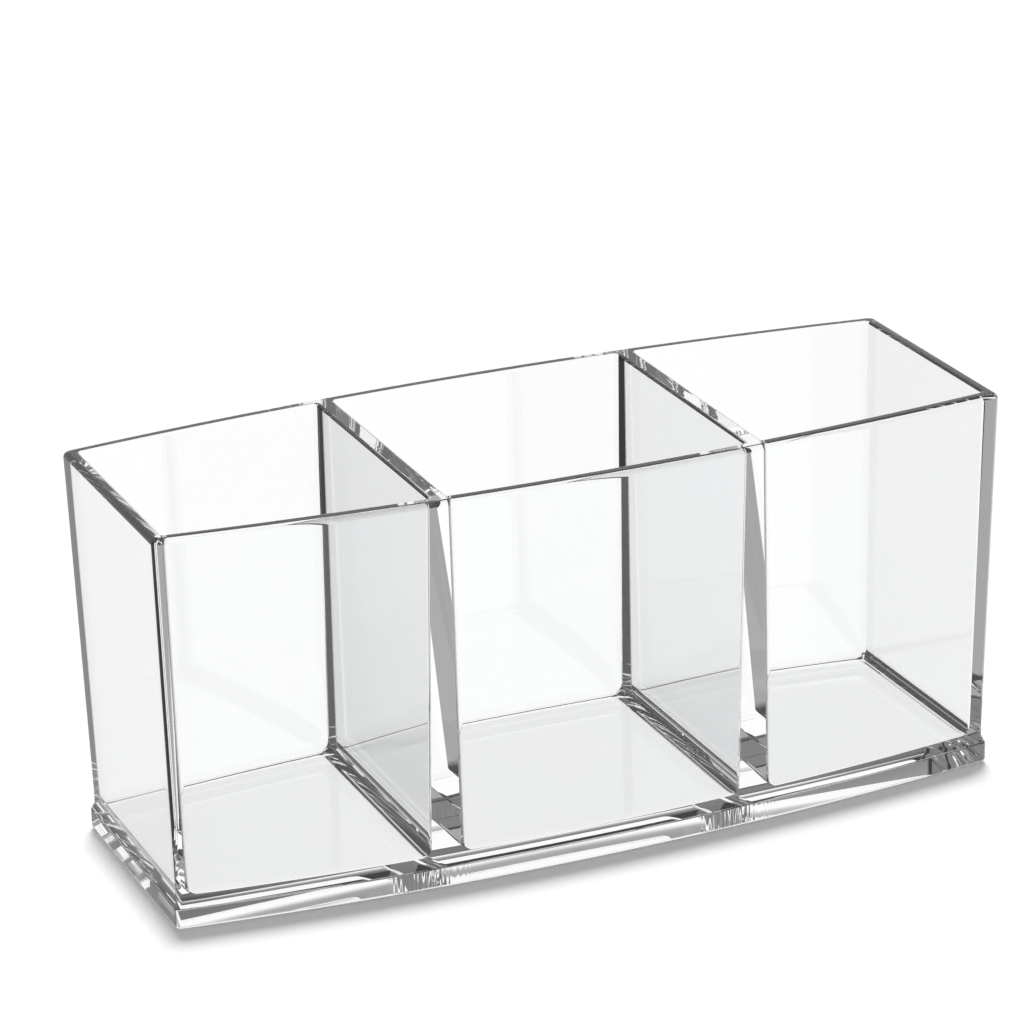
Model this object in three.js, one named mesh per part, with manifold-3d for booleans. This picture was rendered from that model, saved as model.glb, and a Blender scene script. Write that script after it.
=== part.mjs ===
// Clear three-cell storage box: bowed front and back, drafted walls, open top, on a plinth with three wells.
// Millimetres, +Z up. Origin under the middle of the plinth; X runs along the length, -Y is the front.
import * as THREE from 'three';
import { mergeVertices } from 'three/addons/utils/BufferGeometryUtils.js';
import Module from 'manifold-3d';

const wasm = await Module();
wasm.setup();

// Overall sizes, taken outside at the rim.
const LENGTH = 220;
const END_DEPTH = 66.4;
const BOW = 7.7;
const HEIGHT = 99.5;

// Thicknesses at the rim, and the width of the middle cell's mouth.
const LONG_WALL = 3.6;
const END_WALL = 3.4;
const DIVIDER = 4.6;
const MIDDLE_CELL = 77.2;

// Every upright face leans inwards from the rim down, outside and inside by its own draft.
const OUTER_DRAFT = 1.9;
const CELL_DRAFT = 1.5;

// Plinth: the height where the walls stand on it, its wells' floor, and the ledge round its lower part.
const PLINTH_HEIGHT = 10;
const FLOOR_HEIGHT = 7;
const LEDGE = 0.8;
const LEDGE_HEIGHT = 5.3;

// Radii of the rounded edges.
const RIM_ROUND = 1.5;
const MOUTH_ROUND = 0.8;
const END_COVE = 2.6;
const LONG_COVE = 0.6;
const FOOT_ROUND = 0.8;
const LEDGE_ROUND = 0.3;
const CORNER_ROUND = 1.2;

// Bond line between a cross panel and the long walls, and how far a cutter passes what it cuts.
const BOND_GAP = 0.3;
const OVERRUN = 6;

// Facets: steps on each rounded edge, and curve segments of the plan.
const ROUND_STEPS = 4;
const PLAN_STEPS = 7;

const QUARTER = Math.PI / 2;
const BOW_RADIUS = (LENGTH * LENGTH / 4 + BOW * BOW) / (2 * BOW);

// Mouths of the cells along X, from left to right.
const CELLS = [
  [END_WALL - LENGTH / 2, -MIDDLE_CELL / 2 - DIVIDER],
  [-MIDDLE_CELL / 2, MIDDLE_CELL / 2],
  [MIDDLE_CELL / 2 + DIVIDER, LENGTH / 2 - END_WALL],
];

/** How far a long side stands out, at a distance from mid-length, beyond where it meets the ends. */
function standOut(x) {
  return Math.sqrt(BOW_RADIUS * BOW_RADIUS - x * x) - BOW_RADIUS + BOW;
}

/** A plan with straight ends, bowed long sides and rounded corners. */
function bowedPlan(halfLength, halfDepth) {
  const corner = halfDepth + standOut(halfLength);
  const turn = halfDepth + standOut(halfLength - CORNER_ROUND);
  const arcCentre = BOW_RADIUS - BOW - halfDepth;
  const arcHalf = Math.asin((halfLength - CORNER_ROUND) / BOW_RADIUS);
  const plan = new THREE.Shape();
  plan.absarc(0, arcCentre, BOW_RADIUS, -QUARTER - arcHalf, -QUARTER + arcHalf, false);
  plan.quadraticCurveTo(halfLength, -corner, halfLength, CORNER_ROUND - corner);
  plan.lineTo(halfLength, corner - CORNER_ROUND);
  plan.quadraticCurveTo(halfLength, corner, halfLength - CORNER_ROUND, turn);
  plan.absarc(0, -arcCentre, BOW_RADIUS, QUARTER - arcHalf, QUARTER + arcHalf, false);
  plan.quadraticCurveTo(-halfLength, corner, -halfLength, corner - CORNER_ROUND);
  plan.lineTo(-halfLength, CORNER_ROUND - corner);
  plan.quadraticCurveTo(-halfLength, -corner, CORNER_ROUND - halfLength, -turn);
  return plan;
}

/** Outer face of the walls from foot to rim: x is the inset from the rim's outline, y the height. */
function outerSide() {
  const side = new THREE.Path();
  side.moveTo(OUTER_DRAFT, PLINTH_HEIGHT);
  side.lineTo(0, HEIGHT - RIM_ROUND);
  side.absarc(RIM_ROUND, HEIGHT - RIM_ROUND, RIM_ROUND, Math.PI, QUARTER, true);
  return side.getPoints(ROUND_STEPS);
}

/** Inner face of a cell: foot with a cove of the given radius, drafted side, mouth, and on past the rim. */
function cellSide(cove) {
  const side = new THREE.Path();
  side.absarc(CELL_DRAFT + cove, FLOOR_HEIGHT + cove, cove, -QUARTER, -Math.PI, true);
  side.absarc(-MOUTH_ROUND, HEIGHT - MOUTH_ROUND, MOUTH_ROUND, 0, QUARTER, false);
  side.lineTo(-MOUTH_ROUND, HEIGHT + OVERRUN);
  return side.getPoints(ROUND_STEPS);
}

/** Outer face of the plinth: rounded foot, upright side, rounded ledge, and on up to the walls' feet. */
function plinthSide() {
  const side = new THREE.Path();
  side.absarc(FOOT_ROUND, FOOT_ROUND, FOOT_ROUND, -QUARTER, -Math.PI, true);
  side.absarc(LEDGE_ROUND, LEDGE_HEIGHT - LEDGE_ROUND, LEDGE_ROUND, Math.PI, QUARTER, true);
  side.lineTo(LEDGE, LEDGE_HEIGHT);
  side.lineTo(LEDGE, PLINTH_HEIGHT);
  return side.getPoints(ROUND_STEPS);
}

/** Closed geometry to a solid that can be joined and cut. */
function solid(geometry) {
  geometry.deleteAttribute('normal');
  geometry.deleteAttribute('uv');
  const merged = mergeVertices(geometry);
  return new wasm.Manifold(new wasm.Mesh({
    numProp: 3,
    vertProperties: merged.getAttribute('position').array,
    triVerts: Uint32Array.from(merged.getIndex().array),
  }));
}

/** A body on a bowed plan, its outline drawn in at every level by that level's inset. */
function bowedBody(halfLength, halfDepth, levels) {
  const steps = levels.length - 1;
  const plan = bowedPlan(halfLength, halfDepth);
  const geometry = new THREE.ExtrudeGeometry(plan, {
    depth: steps, steps, bevelEnabled: false, curveSegments: PLAN_STEPS,
  });
  const places = geometry.getAttribute('position');
  for (let i = 0; i < places.count; i += 1) {
    const level = levels[Math.round(places.getZ(i))];
    const x = places.getX(i) * (1 - level.x / halfLength);
    const y = places.getY(i) - Math.sign(places.getY(i)) * level.x;
    places.setXYZ(i, x, y, level.y);
  }
  return solid(geometry);
}

/** A block between two places along X, past everything along Y and Z. */
function block(left, right, front, back) {
  const geometry = new THREE.BoxGeometry(right - left, back - front, HEIGHT + 2 * OVERRUN);
  geometry.translate((left + right) / 2, (front + back) / 2, HEIGHT / 2);
  return solid(geometry);
}

/** The body that all panels are cut from: the walls' outer faces, filled, from the plinth to the rim. */
function outerBody() {
  return bowedBody(LENGTH / 2, END_DEPTH / 2, outerSide());
}

/** The space between the two long walls, running out past both ends, less a clearance at each wall. */
function spaceBetweenLongWalls(clearance) {
  return bowedBody(LENGTH / 2 + OVERRUN, END_DEPTH / 2 - LONG_WALL - clearance, cellSide(LONG_COVE));
}

/** One cell's section, with its drafted sides and coved foot, carried from front to back past the walls. */
function cellSection([left, right]) {
  const side = cellSide(END_COVE);
  const outline = side.map((point) => new THREE.Vector2(right - point.x, point.y));
  outline.push(...side.reverse().map((point) => new THREE.Vector2(left + point.x, point.y)));
  const depth = END_DEPTH + 2 * (BOW + OVERRUN);
  const geometry = new THREE.ExtrudeGeometry(new THREE.Shape(outline), { depth, bevelEnabled: false });
  geometry.rotateX(QUARTER);
  geometry.translate(0, depth / 2, 0);
  return solid(geometry);
}

/** Solid plinth with a shallow, coved well under each cell. */
function plinth() {
  const inset = OUTER_DRAFT - LEDGE;
  const space = spaceBetweenLongWalls(0);
  let body = bowedBody(LENGTH / 2 - inset, END_DEPTH / 2 - inset, plinthSide());
  for (const cell of CELLS) {
    body = body.subtract(space.intersect(cellSection(cell)));
  }
  return body;
}

/** Front wall, or the back wall that matches it, running the full length. */
function longWall(front, back) {
  const past = LENGTH / 2 + OVERRUN;
  return outerBody().subtract(spaceBetweenLongWalls(0)).intersect(block(-past, past, front, back));
}

/** What is left between the long walls once the cells are cut: both end walls and both dividers. */
function crossPanels() {
  let panels = outerBody().intersect(spaceBetweenLongWalls(BOND_GAP));
  for (const cell of CELLS) {
    panels = panels.subtract(cellSection(cell));
  }
  return panels;
}

/** The one cross panel that stands between two places along X. */
function crossPanel(panels, left, right) {
  const past = END_DEPTH / 2 + BOW + OVERRUN;
  return panels.intersect(block(left, right, -past, past));
}

/** Polished clear plastic. */
function clearPlastic() {
  return new THREE.MeshStandardMaterial({
    color: 0xf2f5f6, roughness: 0.05, metalness: 0, transparent: true, opacity: 0.3,
  });
}

/** A solid as a named mesh with its own material. */
function piece(name, body) {
  const { numProp, vertProperties, triVerts } = body.getMesh();
  const geometry = new THREE.BufferGeometry();
  geometry.setAttribute('position', new THREE.BufferAttribute(vertProperties, numProp));
  geometry.setIndex(new THREE.BufferAttribute(triVerts, 1));
  geometry.computeVertexNormals();
  const mesh = new THREE.Mesh(geometry, clearPlastic());
  mesh.name = name;
  return mesh;
}

const box = new THREE.Group();
box.add(piece('plinth', plinth()));

const outFront = END_DEPTH / 2 + BOW + OVERRUN;
box.add(piece('front_wall', longWall(-outFront, 0)));
box.add(piece('back_wall', longWall(0, outFront)));

// Each cross panel lies between the middles of the cells beside it.
const middles = CELLS.map(([left, right]) => (left + right) / 2);
const bounds = [-LENGTH / 2 - OVERRUN, ...middles, LENGTH / 2 + OVERRUN];
const panels = crossPanels();
['left_end_wall', 'left_divider', 'right_divider', 'right_end_wall'].forEach((name, i) => {
  box.add(piece(name, crossPanel(panels, bounds[i], bounds[i + 1])));
});

export default box;
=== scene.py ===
"""Dresses the clear three-cell storage box and sets it in a plain white studio.

The box is modelled once as it is seen, in one clear body, and then parted along its joints into
the panels of the frame, so that light crosses every joint as it does in a welded box.
"""

import logging
import math
from collections.abc import Callable, Iterable
from dataclasses import dataclass, field
from enum import Enum
from typing import Any

import bmesh
import bpy
from mathutils import Matrix, Vector


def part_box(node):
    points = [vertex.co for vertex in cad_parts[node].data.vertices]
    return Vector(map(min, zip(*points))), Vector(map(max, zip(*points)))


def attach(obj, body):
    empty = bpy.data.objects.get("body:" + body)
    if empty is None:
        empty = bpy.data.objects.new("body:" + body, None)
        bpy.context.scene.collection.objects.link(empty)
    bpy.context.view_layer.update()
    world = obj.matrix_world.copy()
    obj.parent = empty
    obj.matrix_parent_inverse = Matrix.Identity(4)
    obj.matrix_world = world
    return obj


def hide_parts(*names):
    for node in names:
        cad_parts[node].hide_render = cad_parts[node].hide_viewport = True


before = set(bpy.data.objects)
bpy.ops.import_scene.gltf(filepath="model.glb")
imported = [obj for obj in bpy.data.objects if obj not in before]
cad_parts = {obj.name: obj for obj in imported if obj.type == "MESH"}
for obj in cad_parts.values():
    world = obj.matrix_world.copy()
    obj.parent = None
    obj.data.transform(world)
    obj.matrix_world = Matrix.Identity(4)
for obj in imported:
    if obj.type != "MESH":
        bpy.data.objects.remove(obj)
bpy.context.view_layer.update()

LOG = logging.getLogger("storage_box")
MM = 0.001
HAIR = 0.005 * MM
NOTHING = HAIR / 1000
LEVEL_FACE = 0.99
QUARTER = math.pi / 2
ROOT = "root"

Point = tuple[float, float, float]
Colour = tuple[float, float, float, float]
Stops = tuple[tuple[float, float], ...]


class Cut(Enum):
    """What a cutter does to the solid that it meets."""

    TAKE_AWAY = "DIFFERENCE"
    KEEP_INSIDE = "INTERSECT"


class Bend(Enum):
    """Which way a rounded edge turns as it rises."""

    OUT_THEN_UP = 0
    UP_THEN_OUT = 1
    UP_THEN_IN = 2


@dataclass(frozen=True)
class Level:
    """A height, and how far the outline stands outside the plan there.

    The ends may stand out by another amount than the long sides.
    """

    height: float
    outset: float
    end_outset: float | None = None

    @property
    def end(self) -> float:
        """Outset at the ends, the same as along the sides unless it was given."""
        return self.outset if self.end_outset is None else self.end_outset


def rounded(start: Level, radius: float, bend: Bend, steps: int) -> list[Level]:
    """Levels of a rounded edge.

    Args:
        start: Where the edge begins.
        radius: Radius of the edge.
        bend: Which way it turns.
        steps: Facets of the quarter circle.

    Returns:
        The levels after the start, up to the end of the edge.
    """
    levels = []
    for step in range(1, steps + 1):
        angle = QUARTER * step / steps
        fast, slow = radius * math.sin(angle), radius * (1 - math.cos(angle))
        if bend is Bend.OUT_THEN_UP:
            levels.append(Level(start.height + slow, start.outset + fast))
        elif bend is Bend.UP_THEN_OUT:
            levels.append(Level(start.height + fast, start.outset + slow))
        else:
            levels.append(Level(start.height + fast, start.outset - slow))
    return levels


@dataclass(frozen=True)
class BoxSizes:
    """Sizes of the box in metres: the overall ones come from the frame."""

    length: float
    depth: float
    height: float
    plinth: float
    bow: float = 7.7 * MM
    floor: float = 7.0 * MM
    long_wall: float = 3.6 * MM
    end_wall: float = 3.4 * MM
    divider: float = 4.6 * MM
    middle_cell: float = 77.2 * MM
    outer_draft: float = 1.9 * MM
    cell_draft: float = 1.5 * MM
    ledge: float = 0.8 * MM
    ledge_height: float = 5.3 * MM
    flare: float = 0.65 * MM
    flare_height: float = 7.0 * MM
    rim_round: float = 1.5 * MM
    mouth_round: float = 0.8 * MM
    end_cove: float = 2.6 * MM
    long_cove: float = 0.6 * MM
    foot_round: float = 0.8 * MM
    ledge_round: float = 0.3 * MM
    outer_corner: float = 1.2 * MM
    cell_corner: float = 1.0 * MM
    overrun: float = 6.0 * MM
    rim_facets: int = 6
    mouth_facets: int = 4
    cove_facets: int = 6
    foot_facets: int = 5
    ledge_facets: int = 3

    @classmethod
    def from_frame(cls) -> "BoxSizes":
        """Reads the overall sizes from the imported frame.

        Returns:
            The sizes of the box.
        """
        low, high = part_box("front_wall")
        return cls(length=high.x - low.x, depth=2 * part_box("back_wall")[1].y,
                   height=high.z, plinth=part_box("plinth")[1].z)

    @property
    def end_half_depth(self) -> float:
        """Half of the outside depth at either end of the rim."""
        return self.depth / 2 - self.bow

    @property
    def bow_radius(self) -> float:
        """Radius of the arc that the long sides follow."""
        half = self.length / 2
        return (half * half + self.bow * self.bow) / (2 * self.bow)

    def stand_out(self, x: float) -> float:
        """How far a long side stands out at a place along the length."""
        radius = self.bow_radius
        return math.sqrt(radius * radius - x * x) - radius + self.bow

    def cell_mouths(self) -> list[tuple[float, float]]:
        """Left and right edges of the three cells at the rim, from left to right."""
        half, middle = self.length / 2, self.middle_cell / 2
        outer = (self.end_wall - half, -middle - self.divider)
        return [outer, (-middle, middle), (-outer[1], -outer[0])]

    def outer_levels(self) -> list[Level]:
        """Outer face of the walls, from foot to rim."""
        foot = Level(self.plinth, -self.outer_draft)
        edge = Level(self.height - self.rim_round, 0.0)
        return [foot, edge, *rounded(edge, self.rim_round, Bend.UP_THEN_IN, self.rim_facets)]

    def plinth_levels(self) -> list[Level]:
        """Outer face of the plinth: rounded foot, ledge, flare, and up to the walls' feet."""
        side = self.ledge - self.outer_draft
        foot = Level(0.0, side - self.foot_round)
        shoulder = Level(self.ledge_height - self.ledge_round, side)
        return [foot, *rounded(foot, self.foot_round, Bend.OUT_THEN_UP, self.foot_facets),
                shoulder, *rounded(shoulder, self.ledge_round, Bend.UP_THEN_IN, self.ledge_facets),
                Level(self.ledge_height, self.flare - self.outer_draft),
                Level(self.flare_height, -self.outer_draft), Level(self.plinth, -self.outer_draft)]

    def cell_outset(self, height: float, cove: float) -> float:
        """How far a cell's face stands outside its mouth at a height, the mouth's round left out.

        Args:
            height: The height.
            cove: Radius of the round at the face's foot.

        Returns:
            The outset, which is below 0 under the mouth.
        """
        rise = height - self.floor
        if rise < cove:
            return math.sqrt(max(cove * cove - (cove - rise) ** 2, 0.0)) - cove - self.cell_draft
        drafted = self.height - self.mouth_round - self.floor - cove
        return -self.cell_draft * (1 - (rise - cove) / drafted)

    def cell_levels(self) -> list[Level]:
        """Inner face of a cell: coved foot, drafted side, rounded mouth, and on past the rim."""
        coves = (self.long_cove, self.end_cove)
        arcs = [radius * (1 - math.cos(QUARTER * step / self.cove_facets))
                for radius in coves for step in range(self.cove_facets + 1)]
        heights = sorted({round(self.floor + rise, 7) for rise in arcs})
        foot = [Level(height, *(self.cell_outset(height, radius) for radius in coves))
                for height in heights]
        mouth = Level(self.height - self.mouth_round, 0.0)
        return [*foot, mouth,
                *rounded(mouth, self.mouth_round, Bend.UP_THEN_OUT, self.mouth_facets),
                Level(self.height + self.overrun, self.mouth_round)]


class Hand:
    """Modelling operators, each on what the code selects first."""

    @staticmethod
    def take(piece: bpy.types.Object) -> None:
        """Makes one object the only selected and active one."""
        bpy.ops.object.select_all(action="DESELECT")
        piece.select_set(True)
        bpy.context.view_layer.objects.active = piece

    @staticmethod
    def pick(piece: bpy.types.Object, test: Callable[[bmesh.types.BMVert], bool]) -> None:
        """Selects the vertices that pass a test, and what they bound.

        Args:
            piece: The object in edit mode.
            test: Says whether a vertex is wanted.
        """
        bpy.ops.mesh.select_mode(type="VERT")
        bpy.ops.mesh.select_all(action="DESELECT")
        mesh = bmesh.from_edit_mesh(piece.data)
        for vertex in mesh.verts:
            vertex.select = test(vertex)
        mesh.select_flush(True)
        bmesh.update_edit_mesh(piece.data)

    @staticmethod
    def pick_edges(piece: bpy.types.Object, test: Callable[[bmesh.types.BMEdge], bool]) -> None:
        """Selects the edges that pass a test.

        Args:
            piece: The object in edit mode.
            test: Says whether an edge is wanted.
        """
        bpy.ops.mesh.select_mode(type="EDGE")
        bpy.ops.mesh.select_all(action="DESELECT")
        mesh = bmesh.from_edit_mesh(piece.data)
        for edge in mesh.edges:
            edge.select = test(edge)
        bmesh.update_edit_mesh(piece.data)

    @staticmethod
    def picked(piece: bpy.types.Object) -> set[int]:
        """Indices of the selected vertices."""
        return {vertex.index for vertex in bmesh.from_edit_mesh(piece.data).verts if vertex.select}

    @classmethod
    def cut(cls, piece: bpy.types.Object, cutter: bpy.types.Object, kind: Cut) -> None:
        """Cuts a solid with another, whose material stays on the cut faces.

        Args:
            piece: The solid that is cut.
            cutter: The solid that cuts.
            kind: What is kept.
        """
        cls.take(piece)
        modifier = piece.modifiers.new("cut", "BOOLEAN")
        modifier.operation = kind.value
        modifier.solver = "EXACT"
        modifier.material_mode = "TRANSFER"
        modifier.object = cutter
        bpy.ops.object.modifier_apply(modifier=modifier.name)

    @classmethod
    def copy(cls, piece: bpy.types.Object) -> bpy.types.Object:
        """Copies an object with its own mesh."""
        cls.take(piece)
        bpy.ops.object.duplicate(linked=False)
        return bpy.context.active_object

    @classmethod
    def join(cls, pieces: list[bpy.types.Object]) -> bpy.types.Object:
        """Joins objects into the first of them."""
        cls.take(pieces[0])
        for piece in pieces:
            piece.select_set(True)
        bpy.ops.object.join()
        return bpy.context.active_object

    @classmethod
    def part(cls, piece: bpy.types.Object) -> list[bpy.types.Object]:
        """Separates an object into its unconnected parts."""
        cls.take(piece)
        bpy.ops.mesh.separate(type="LOOSE")
        return list(bpy.context.selected_objects)

    @classmethod
    def discard(cls, pieces: Iterable[bpy.types.Object]) -> None:
        """Deletes cutters that have done their work."""
        bpy.ops.object.select_all(action="DESELECT")
        for piece in pieces:
            piece.select_set(True)
        bpy.ops.object.delete()


@dataclass
class Riser:
    """A closed solid raised level by level from a plan with bowed long sides."""

    name: str
    sizes: BoxSizes
    left: float
    right: float
    half_depth: float
    levels: list[Level]
    corner: float = 0.0
    stations: int = 40
    corner_steps: int = 5
    piece: bpy.types.Object = field(init=False)

    def build(self) -> None:
        """Lays the plan down and raises it through every level."""
        self.lay_plan()
        before = Level(self.levels[0].height, 0.0)
        for step, level in enumerate(self.levels):
            if step:
                bpy.ops.mesh.extrude_region_move(
                    TRANSFORM_OT_translate={"value": (0, 0, level.height - before.height)})
            self.let_out(before, level)
            before = level
        bpy.ops.mesh.select_all(action="SELECT")
        bpy.ops.mesh.normals_make_consistent(inside=False)
        bpy.ops.object.mode_set(mode="OBJECT")

    def lay_plan(self) -> None:
        """Adds a plane, bows its long sides and rounds its corners, and leaves it in edit mode."""
        width, middle = self.right - self.left, (self.left + self.right) / 2
        start = self.levels[0].height
        bpy.ops.object.select_all(action="DESELECT")
        bpy.ops.mesh.primitive_plane_add(size=1, location=(middle, 0, start))
        self.piece = bpy.context.active_object
        self.piece.name = self.name
        bpy.ops.transform.resize(value=(width, 2 * self.half_depth, 1))
        bpy.ops.object.transform_apply(location=True, rotation=True, scale=True)
        bpy.ops.object.mode_set(mode="EDIT")
        Hand.pick_edges(
            self.piece, lambda edge: abs(edge.verts[0].co.x - edge.verts[1].co.x) > HAIR)
        bpy.ops.mesh.subdivide(number_cuts=self.stations - 1)
        for station in range(self.stations + 1):
            x = self.left + width * station / self.stations
            Hand.pick(self.piece, lambda vertex: abs(vertex.co.x - x) < HAIR)
            wider = 1 + self.sizes.stand_out(x) / self.half_depth
            bpy.ops.transform.resize(value=(1, wider, 1), center_override=(x, 0, start))
        Hand.pick_edges(self.piece, lambda edge: len(edge.link_faces) == 2)
        bpy.ops.mesh.dissolve_edges(use_verts=False)
        if self.corner:
            half = width / 2 - HAIR
            Hand.pick(self.piece, lambda vertex: abs(vertex.co.x - middle) > half)
            bpy.ops.mesh.bevel(
                offset=self.corner, segments=self.corner_steps, affect="VERTICES")
        Hand.pick(self.piece, lambda vertex: True)

    def let_out(self, old: Level, new: Level) -> None:
        """Moves the selected outline outwards, the sides and the ends by their own amounts.

        Args:
            old: The level whose outline it has.
            new: The level whose outline it takes.
        """
        ring = Hand.picked(self.piece)
        by = new.outset - old.outset
        for side in (-1, 1) if abs(by) > NOTHING else ():
            Hand.pick(
                self.piece, lambda vertex: vertex.index in ring and vertex.co.y * side > 0)
            bpy.ops.transform.translate(value=(0, by * side, 0))
        Hand.pick(self.piece, lambda vertex: vertex.index in ring)
        middle, half = (self.left + self.right) / 2, (self.right - self.left) / 2
        wider = (half + new.end) / (half + old.end)
        bpy.ops.transform.resize(value=(wider, 1, 1), center_override=(middle, 0, 0))

    def dress(self, main: bpy.types.Material, ends: bpy.types.Material | None = None,
              top: bool = False, bottom: bool = False) -> None:
        """Gives the solid its finish, and its flat top or bottom another one.

        Args:
            main: Finish of the whole.
            ends: Finish of the named flat faces.
            top: Whether the top face takes it.
            bottom: Whether the bottom face takes it.
        """
        mesh = self.piece.data
        mesh.materials.append(main)
        if ends is None:
            return
        mesh.materials.append(ends)
        heights = [vertex.co.z for vertex in mesh.vertices]
        faces = sorted(mesh.polygons, key=lambda face: -face.area)
        for wanted, height in ((top, max(heights)), (bottom, min(heights))):
            flat = [face for face in faces
                    if abs(face.center.z - height) < HAIR and abs(face.normal.z) > LEVEL_FACE]
            if wanted and flat:
                flat[0].material_index = 1


class Signal:
    """A value in a node tree that Python expressions work on."""

    def __init__(self, bench: "Bench", socket: bpy.types.NodeSocket) -> None:
        """Wraps an output socket.

        Args:
            bench: Where new nodes go.
            socket: The output that carries the value.
        """
        self.bench = bench
        self.socket = socket

    def through(self, operation: str, edge: float = 0.0) -> "Signal":
        """Adds the Math node of a function of this value.

        Args:
            operation: The node's operation.
            edge: Its second value, where it takes one.

        Returns:
            The result.
        """
        return self.combine(operation, self, edge)

    def combine(self, operation: str, first: Any, second: Any) -> "Signal":
        """Adds the Math node of an operator.

        Args:
            operation: The node's operation.
            first: Its first value or signal.
            second: Its second value or signal.

        Returns:
            The result.
        """
        node = self.bench.add("ShaderNodeMath", {"operation": operation}, {0: first, 1: second})
        return node.signal()

    def __add__(self, other: Any) -> "Signal":
        """Sum."""
        return self.combine("ADD", self, other)

    __radd__ = __add__

    def __sub__(self, other: Any) -> "Signal":
        """Difference."""
        return self.combine("SUBTRACT", self, other)

    def __rsub__(self, other: Any) -> "Signal":
        """Difference from a number."""
        return self.combine("SUBTRACT", other, self)

    def __mul__(self, other: Any) -> "Signal":
        """Product."""
        return self.combine("MULTIPLY", self, other)

    __rmul__ = __mul__

    def or_more(self, other: Any) -> "Signal":
        """The larger of two."""
        return self.combine("MAXIMUM", self, other)


class Placed:
    """A node that has been added, with its outputs at hand."""

    def __init__(self, bench: "Bench", node: bpy.types.Node) -> None:
        """Wraps a node.

        Args:
            bench: Where it stands.
            node: The node.
        """
        self.bench = bench
        self.node = node

    def out(self, key: int | str = 0) -> bpy.types.NodeSocket:
        """One of the outputs."""
        return self.node.outputs[key]

    def signal(self, key: int | str = 0) -> Signal:
        """One of the outputs as a value for expressions."""
        return Signal(self.bench, self.node.outputs[key])


class Bench:
    """An empty node tree that nodes are added to."""

    def __init__(self, owner: bpy.types.Material | bpy.types.World) -> None:
        """Clears the owner's tree.

        Args:
            owner: The material or world.
        """
        owner.use_nodes = True
        self.tree = owner.node_tree
        self.tree.nodes.clear()

    def add(self, kind: str, settings: dict[str, Any] | None = None,
            sockets: dict[int | str, Any] | None = None) -> Placed:
        """Adds a node.

        Args:
            kind: The node's type.
            settings: Its settings; "stops" gives a ramp's places and colours.
            sockets: Values or links of its inputs.

        Returns:
            The node.
        """
        node = self.tree.nodes.new(kind)
        for name, value in (settings or {}).items():
            if name == "stops":
                ramp = node.color_ramp
                while len(ramp.elements) < len(value):
                    ramp.elements.new(1.0)
                for element, (place, colour) in zip(ramp.elements, value):
                    element.position, element.color = place, colour
            else:
                setattr(node, name, value)
        for key, value in (sockets or {}).items():
            if isinstance(value, Signal):
                value = value.socket
            if isinstance(value, bpy.types.NodeSocket):
                self.tree.links.new(value, node.inputs[key])
            else:
                node.inputs[key].default_value = value
        return Placed(self, node)

    def rise(self, value: Signal, start: float, end: float) -> Signal:
        """Adds a smooth step.

        Args:
            value: What steps.
            start: Where the result is still 0.
            end: Where the result has become 1.

        Returns:
            The step, from 0 to 1.
        """
        return self.add("ShaderNodeMapRange", {"interpolation_type": "SMOOTHSTEP"},
                        {"Value": value, "From Min": start, "From Max": end}).signal()


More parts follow.
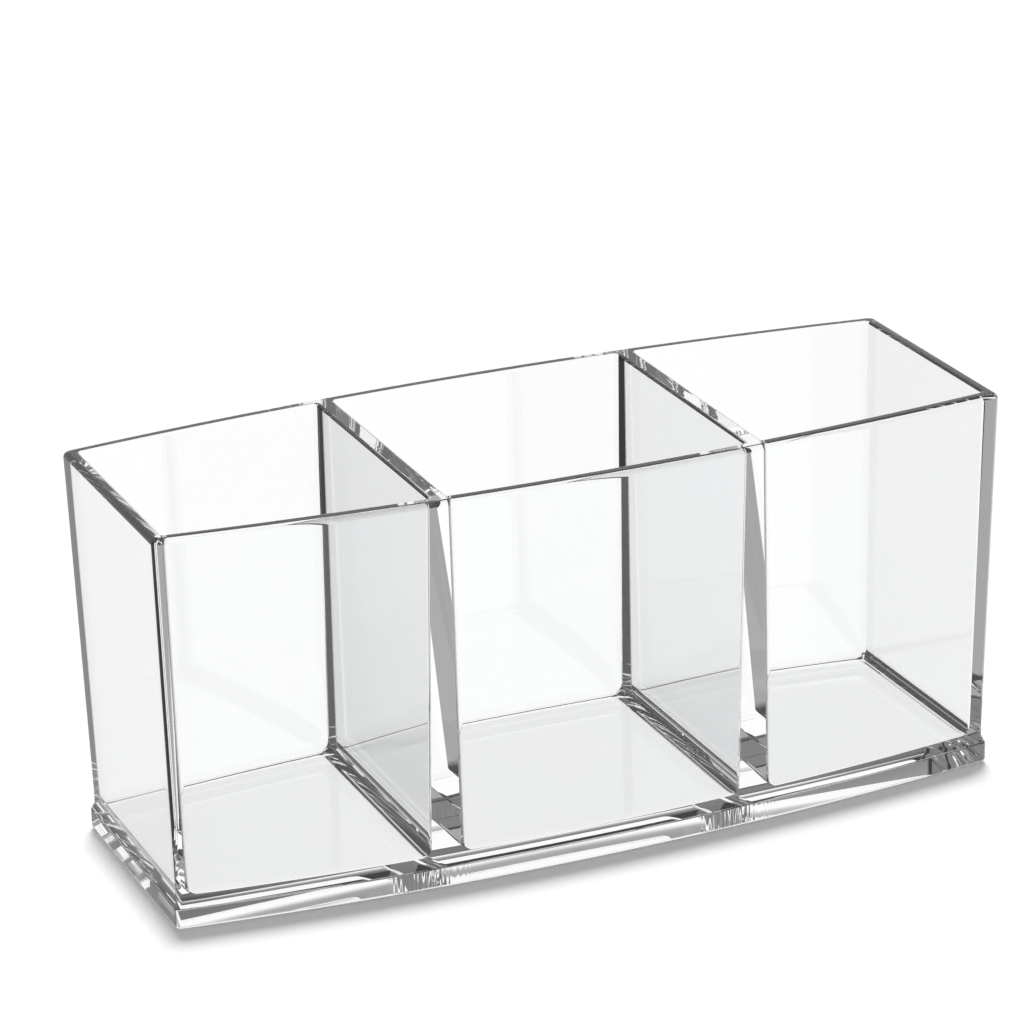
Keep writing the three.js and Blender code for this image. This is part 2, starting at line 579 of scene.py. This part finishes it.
@dataclass(frozen=True)
class ClearPlastic:
    """Polished clear moulded plastic.

    It has the faint flow waves and handling marks of the real one, and upright moulding ripples on
    the plinth's long sides beside each divider. Clouds, marks and waves have a scale and a detail.
    """

    name: str = "polished_clear_plastic"
    refraction: float = 1.49
    pale: Colour = (1.0, 1.0, 1.0, 1.0)
    cool: Colour = (0.985, 0.993, 1.0, 1.0)
    clouds: tuple[float, float] = (26.0, 3.0)
    marks: tuple[float, float] = (170.0, 4.0)
    mark_start: float = 0.55
    mark_gain: float = 2.0
    haze: float = 0.012
    waves: tuple[float, float] = (14.0, 1.0)
    wave_strength: float = 0.2
    wave_depth: float = 0.02 * MM
    ripple_middles: tuple[float, float] = (-46.4 * MM, 35.4 * MM)
    ripple_reach: float = 11.5 * MM
    ripple_full: float = 0.7
    ripple_top: float = 5.3 * MM
    ripple_pitch: float = 1.25 * MM
    ripple_depth: float = 0.05 * MM
    wander_scale: float = 300.0
    wander_turn: float = 9.0
    upright: float = 0.8

    def material(self) -> bpy.types.Material:
        """Makes the material.

        Returns:
            The finish for every clear face.
        """
        material = bpy.data.materials.new(self.name)
        bench = Bench(material)
        place = bench.add("ShaderNodeTexCoord").out("Object")
        cloud, smear, flow = (
            bench.add("ShaderNodeTexNoise", None,
                      {"Vector": place, "Scale": scale, "Detail": detail}).signal("Fac")
            for scale, detail in (self.clouds, self.marks, self.waves))
        tint = bench.add("ShaderNodeMix", {"data_type": "RGBA"},
                         {"Factor": cloud, "A": self.pale, "B": self.cool})
        marks = (smear - self.mark_start).or_more(0.0) * self.mark_gain
        waves = bench.add("ShaderNodeBump", None, {
            "Strength": self.wave_strength, "Distance": self.wave_depth, "Height": flow})
        ripples = bench.add("ShaderNodeBump", None, {
            "Strength": 1.0, "Distance": self.ripple_depth, "Normal": waves.out(),
            "Height": self.ripples(bench, place)})
        shader = bench.add("ShaderNodeBsdfPrincipled", None, {
            "Base Color": tint.out(2), "Roughness": marks * self.haze, "IOR": self.refraction,
            "Transmission Weight": 1.0, "Normal": ripples.out()})
        bench.add("ShaderNodeOutputMaterial", None, {"Surface": shader.out()})
        return material

    def ripples(self, bench: Bench, place: bpy.types.NodeSocket) -> Signal:
        """Upright moulding ripples on the plinth's long sides, beside each divider.

        Args:
            bench: Where the nodes go.
            place: Coordinates on the piece.

        Returns:
            Height of the ripples, from 0 to 1.
        """
        axes = bench.add("ShaderNodeSeparateXYZ", None, {0: place})
        across, height = axes.signal("X"), axes.signal("Z")
        wander = bench.add("ShaderNodeTexNoise", {"noise_dimensions": "1D"},
                           {"W": across, "Scale": self.wander_scale})
        turns = across * (2 * math.pi / self.ripple_pitch) + wander.signal("Fac") * self.wander_turn
        left, right = (
            bench.rise((across - middle).through("ABSOLUTE"),
                       self.ripple_reach, self.ripple_reach * self.ripple_full)
            for middle in self.ripple_middles)
        below = (self.ripple_top - height).through("GREATER_THAN")
        normal = bench.add("ShaderNodeNewGeometry").out("True Normal")
        facing = bench.add("ShaderNodeSeparateXYZ", None, {0: normal}).signal("Y")
        on_sides = facing.through("ABSOLUTE").through("GREATER_THAN", self.upright)
        return (turns.through("SINE") * 0.5 + 0.5) * (left + right) * below * on_sides


@dataclass(frozen=True)
class WeldedFace:
    """Face where two panels are welded.

    The plastic is the same on both sides, so light crosses it unbent.
    """

    name: str = "welded_face"
    alpha: float = 0.0
    roughness: float = 0.5

    def material(self) -> bpy.types.Material:
        """Makes the material.

        Returns:
            The finish for every face inside a joint.
        """
        material = bpy.data.materials.new(self.name)
        bench = Bench(material)
        shader = bench.add("ShaderNodeBsdfPrincipled", None,
                           {"Alpha": self.alpha, "Roughness": self.roughness})
        bench.add("ShaderNodeOutputMaterial", None, {"Surface": shader.out()})
        return material


@dataclass
class ClearBody:
    """The walls and dividers as one clear body, and the cutters that shape and part it."""

    sizes: BoxSizes
    clear: bpy.types.Material
    weld: bpy.types.Material
    skin: float = 0.06 * MM
    margin: float = 0.1 * MM
    cell_stations: int = 16
    joint_stations: int = 6
    cells: list[bpy.types.Object] = field(default_factory=list)

    def cut_cells(self) -> None:
        """Makes the three cells as solids."""
        inner = self.sizes.end_half_depth - self.sizes.long_wall
        for number, (left, right) in enumerate(self.sizes.cell_mouths()):
            riser = Riser(f"cell_{number}", self.sizes, left, right, inner,
                          self.sizes.cell_levels(), corner=self.sizes.cell_corner,
                          stations=self.cell_stations)
            riser.build()
            riser.dress(self.clear)
            self.cells.append(riser.piece)

    def walls(self) -> bpy.types.Object:
        """Raises the walls' body and hollows the cells out of it.

        Returns:
            The body above the plinth.
        """
        half = self.sizes.length / 2
        riser = Riser("walls", self.sizes, -half, half, self.sizes.end_half_depth,
                      self.sizes.outer_levels(), corner=self.sizes.outer_corner)
        riser.build()
        riser.dress(self.clear, self.weld, bottom=True)
        self.hollow(riser.piece)
        return riser.piece

    def plinth(self) -> bpy.types.Object:
        """Raises the plinth and sinks the three wells into it.

        Returns:
            The plinth.
        """
        half = self.sizes.length / 2
        riser = Riser("plinth_block", self.sizes, -half, half, self.sizes.end_half_depth,
                      self.sizes.plinth_levels(), corner=self.sizes.outer_corner)
        riser.build()
        riser.dress(self.clear, self.weld, top=True)
        self.hollow(riser.piece)
        return riser.piece

    def hollow(self, piece: bpy.types.Object) -> None:
        """Takes the three cells out of a solid."""
        for cell in self.cells:
            Hand.cut(piece, cell, Cut.TAKE_AWAY)

    def joint_cutter(self) -> bpy.types.Object:
        """Makes the blocks that hold the cross panels, a hair deeper than the cells' long sides.

        Returns:
            The four blocks as one object.
        """
        sizes = self.sizes
        reach = sizes.cell_corner + self.margin
        half = sizes.length / 2
        mouths = sizes.cell_mouths()
        spans = [(-half - sizes.overrun, mouths[0][0] + reach),
                 (mouths[0][1] - reach, mouths[1][0] + reach),
                 (mouths[1][1] - reach, mouths[2][0] + reach),
                 (mouths[2][1] - reach, half + sizes.overrun)]
        low, high = sizes.plinth - sizes.ledge, sizes.height + sizes.overrun
        depths = [sizes.cell_outset(height, sizes.long_cove) for height in (low, high)]
        levels = [Level(height, depth, -depth) for height, depth in zip((low, high), depths)]
        blocks = []
        for number, (left, right) in enumerate(spans):
            inner = sizes.end_half_depth - sizes.long_wall + self.skin
            riser = Riser(f"joint_{number}", sizes, left, right, inner, levels,
                          stations=self.joint_stations)
            riser.build()
            riser.dress(self.weld)
            blocks.append(riser.piece)
        return Hand.join(blocks)

    def panels(self) -> dict[str, bpy.types.Object]:
        """Parts the walls' body into the panels of the frame.

        Returns:
            The panels by the name of the node that each stands for.
        """
        walls = self.walls()
        cross = Hand.copy(walls)
        cutter = self.joint_cutter()
        Hand.cut(walls, cutter, Cut.TAKE_AWAY)
        Hand.cut(cross, cutter, Cut.KEEP_INSIDE)
        Hand.discard([cutter])
        long_walls = sorted(Hand.part(walls), key=lambda piece: self.middle(piece).y)
        cross_panels = sorted(Hand.part(cross), key=lambda piece: self.middle(piece).x)
        LOG.info("walls part into %d and %d", len(long_walls), len(cross_panels))
        names = ["front_wall", "back_wall",
                 "left_end_wall", "left_divider", "right_divider", "right_end_wall"]
        return dict(zip(names, [*long_walls, *cross_panels]))

    @staticmethod
    def middle(piece: bpy.types.Object) -> Vector:
        """Middle of a piece's box."""
        corners = [Vector(corner) for corner in piece.bound_box]
        return sum(corners, Vector()) / len(corners)


@dataclass
class StorageBox:
    """The whole box: a plinth with three wells, two long walls, two end walls and two dividers."""

    sizes: BoxSizes
    smooth_below: float = math.radians(32)
    pieces: dict[str, bpy.types.Object] = field(default_factory=dict)

    def build(self) -> None:
        """Models every panel, polishes it and ties it to the frame."""
        body = ClearBody(self.sizes, ClearPlastic().material(), WeldedFace().material())
        body.cut_cells()
        self.pieces["plinth"] = body.plinth()
        self.pieces.update(body.panels())
        Hand.discard(body.cells)
        for node, piece in self.pieces.items():
            self.polish(piece)
            piece.name = f"{node}_clear"
            piece.data.name = piece.name
            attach(piece, ROOT)
            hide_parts(node)
            if node != "plinth":
                # Light crosses the clear walls: only the plinth lays a shadow on the floor.
                piece.visible_shadow = False
                piece.visible_diffuse = False
            LOG.info("%s: %d faces", piece.name, len(piece.data.polygons))

    def polish(self, piece: bpy.types.Object) -> None:
        """Shades the rounds smooth and keeps the flats flat."""
        Hand.take(piece)
        bpy.ops.object.shade_smooth_by_angle(angle=self.smooth_below)
        modifier = piece.modifiers.new("flats", "WEIGHTED_NORMAL")
        modifier.keep_sharp = True
        bpy.ops.object.modifier_apply(modifier=modifier.name)


@dataclass
class Studio:
    """Plain white floor and surroundings, soft light, and the camera.

    Each card is a height, from -1 straight down to 1 straight up, and how bright it is there. The
    few bounces let light fade that runs along inside the walls, as it does in real plastic.
    """

    floor_size: float = 8.0
    floor_drop: float = 0.4 * MM
    floor_colour: Colour = (0.9, 0.9, 0.9, 1.0)
    floor_lift: float = 0.12
    sun_share: float = 0.7
    sun_place: Point = (0.6, 0.9, 1.4)
    sun_angle: float = math.radians(30)
    sun_turn: Point = (math.radians(40), 0.0, math.radians(155))
    yaw: float = math.radians(23.01)
    pitch: float = math.radians(21.28)
    roll: float = math.radians(1.33)
    stand: Point = (-0.39438, -0.91252, 0.46312)
    sensor: float = 36.0
    lens: float = 153.05
    bounces: int = 10
    joint_crossings: int = 40
    card_edge: tuple[float, float] = (-0.05, 0.1)
    near_left_cards: Stops = ((-0.6, 0.02), (0.6, 0.02), (0.86, 0.1), (0.95, 0.6))
    far_left_cards: Stops = (
        (-0.6, 0.03), (-0.5, 0.05), (-0.44, 0.37), (-0.28, 0.37), (-0.22, 0.05), (0.05, 0.2),
        (0.4, 0.2), (0.86, 0.1), (0.95, 0.6))
    right_cards: Stops = (
        (-0.6, 1.0), (0.31, 1.0), (0.34, 0.68), (0.37, 0.36), (0.41, 0.3), (0.44, 0.16),
        (0.49, 0.16), (0.51, 0.02), (0.86, 0.02), (0.9, 0.7))

    def build(self) -> None:
        """Sets everything up."""
        self.add_floor()
        self.add_sun()
        self.add_world()
        self.add_camera()
        bpy.context.scene.view_settings.view_transform = "Standard"
        cycles = bpy.context.scene.cycles
        cycles.max_bounces = self.bounces
        cycles.glossy_bounces = self.bounces
        cycles.transmission_bounces = self.bounces
        cycles.transparent_max_bounces = self.joint_crossings

    def add_floor(self) -> None:
        """Adds the floor, which is white, and open to the surroundings through the plastic."""
        bpy.ops.object.select_all(action="DESELECT")
        bpy.ops.mesh.primitive_plane_add(size=self.floor_size, location=(0, 0, -self.floor_drop))
        floor = bpy.context.active_object
        floor.name = "studio_floor"
        material = bpy.data.materials.new("pale_floor")
        bench = Bench(material)
        path = bench.add("ShaderNodeLightPath")
        paint = bench.add("ShaderNodeBsdfDiffuse", None, {"Color": self.floor_colour})
        lift = bench.add("ShaderNodeEmission", None,
                         {"Strength": path.signal("Is Camera Ray") * self.floor_lift})
        matt = bench.add("ShaderNodeAddShader", None, {0: paint.out(), 1: lift.out()})
        white = bench.add("ShaderNodeEmission", None, {"Strength": 1.0})
        mirrored = bench.add("ShaderNodeMixShader", None,
                             {0: path.signal("Is Glossy Ray"), 1: matt.out(), 2: white.out()})
        open_floor = bench.add("ShaderNodeBsdfTransparent")
        mix = bench.add("ShaderNodeMixShader", None, {
            0: path.signal("Is Transmission Ray"), 1: mirrored.out(), 2: open_floor.out()})
        bench.add("ShaderNodeOutputMaterial", None, {"Surface": mix.out()})
        floor.data.materials.append(material)

    def add_sun(self) -> None:
        """Adds the soft light from behind that lays the plinth's shadow down in front."""
        bpy.ops.object.select_all(action="DESELECT")
        bpy.ops.object.light_add(type="SUN", location=self.sun_place, rotation=self.sun_turn)
        sun = bpy.context.active_object
        sun.name = "studio_sun"
        sun.data.energy = self.sun_share * math.pi / math.cos(self.sun_turn[0])
        sun.data.angle = self.sun_angle
        sun.visible_glossy = False
        sun.visible_transmission = False

    def add_world(self) -> None:
        """Makes the surroundings: white, with dark cards.

        Only light that was mirrored inside the plastic sees the cards, so that the edges are dark
        and what is seen straight through the plastic is white from every side.
        """
        world = bpy.data.worlds.new("studio_world")
        bpy.context.scene.world = world
        bench = Bench(world)
        direction = bench.add("ShaderNodeTexCoord").out("Generated")
        axes = bench.add("ShaderNodeSeparateXYZ", None, {0: direction})
        right, far = (bench.rise(axes.signal(axis), *self.card_edge) for axis in ("X", "Y"))
        near_left, far_left, on_right = (
            self.cards(bench, axes.signal("Z"), stops)
            for stops in (self.near_left_cards, self.far_left_cards, self.right_cards))
        shade = (near_left * (1.0 - far) + far_left * far) * (1.0 - right) + on_right * right
        path = bench.add("ShaderNodeLightPath")
        mirrored = path.signal("Glossy Depth").through("GREATER_THAN")
        strength = 1.0 - path.signal("Is Transmission Ray") * mirrored * (1.0 - shade)
        floor_share = 1.0 - path.signal("Is Diffuse Ray") * self.sun_share
        sky = bench.add("ShaderNodeBackground", None,
                        {"Color": (1.0, 1.0, 1.0, 1.0), "Strength": strength * floor_share})
        bench.add("ShaderNodeOutputWorld", None, {"Surface": sky.out()})

    @staticmethod
    def cards(bench: Bench, height: Signal, stops: Stops) -> Signal:
        """How bright one side of the surroundings is at each height.

        Args:
            bench: Where the nodes go.
            height: Height of the direction that is looked in.
            stops: The cards, with even slopes in between.

        Returns:
            The brightness.
        """
        places = [((at + 1) / 2, (value, value, value, 1.0)) for at, value in stops]
        ramp = bench.add("ShaderNodeValToRGB", {"stops": places}, {"Fac": height * 0.5 + 0.5})
        return bench.add("ShaderNodeRGBToBW", None, {0: ramp.out()}).signal()

    def add_camera(self) -> None:
        """Places the camera where the photograph was taken from."""
        right = Vector((math.cos(self.yaw), -math.sin(self.yaw), 0))
        level = math.cos(self.pitch)
        forward = Vector((math.sin(self.yaw) * level, math.cos(self.yaw) * level,
                          -math.sin(self.pitch)))
        down = forward.cross(right)
        across = math.cos(self.roll) * right + math.sin(self.roll) * down
        up = math.sin(self.roll) * right - math.cos(self.roll) * down
        camera = bpy.data.cameras.new("studio_camera")
        camera.sensor_width = self.sensor
        camera.lens = self.lens
        holder = bpy.data.objects.new("studio_camera", camera)
        bpy.context.scene.collection.objects.link(holder)
        holder.matrix_world = Matrix([(*row, place) for row, place in
                                      zip(zip(across, up, -forward), self.stand)] + [(0, 0, 0, 1)])
        bpy.context.scene.camera = holder


def keep_sizes() -> None:
    """Updates the view layer."""
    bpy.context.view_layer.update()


def main() -> None:
    """Builds the box and its studio."""
    logging.basicConfig(level=logging.INFO, format="%(message)s")
    StorageBox(BoxSizes.from_frame()).build()
    Studio().build()
    keep_sizes()


if __name__ == "__main__":
    main()
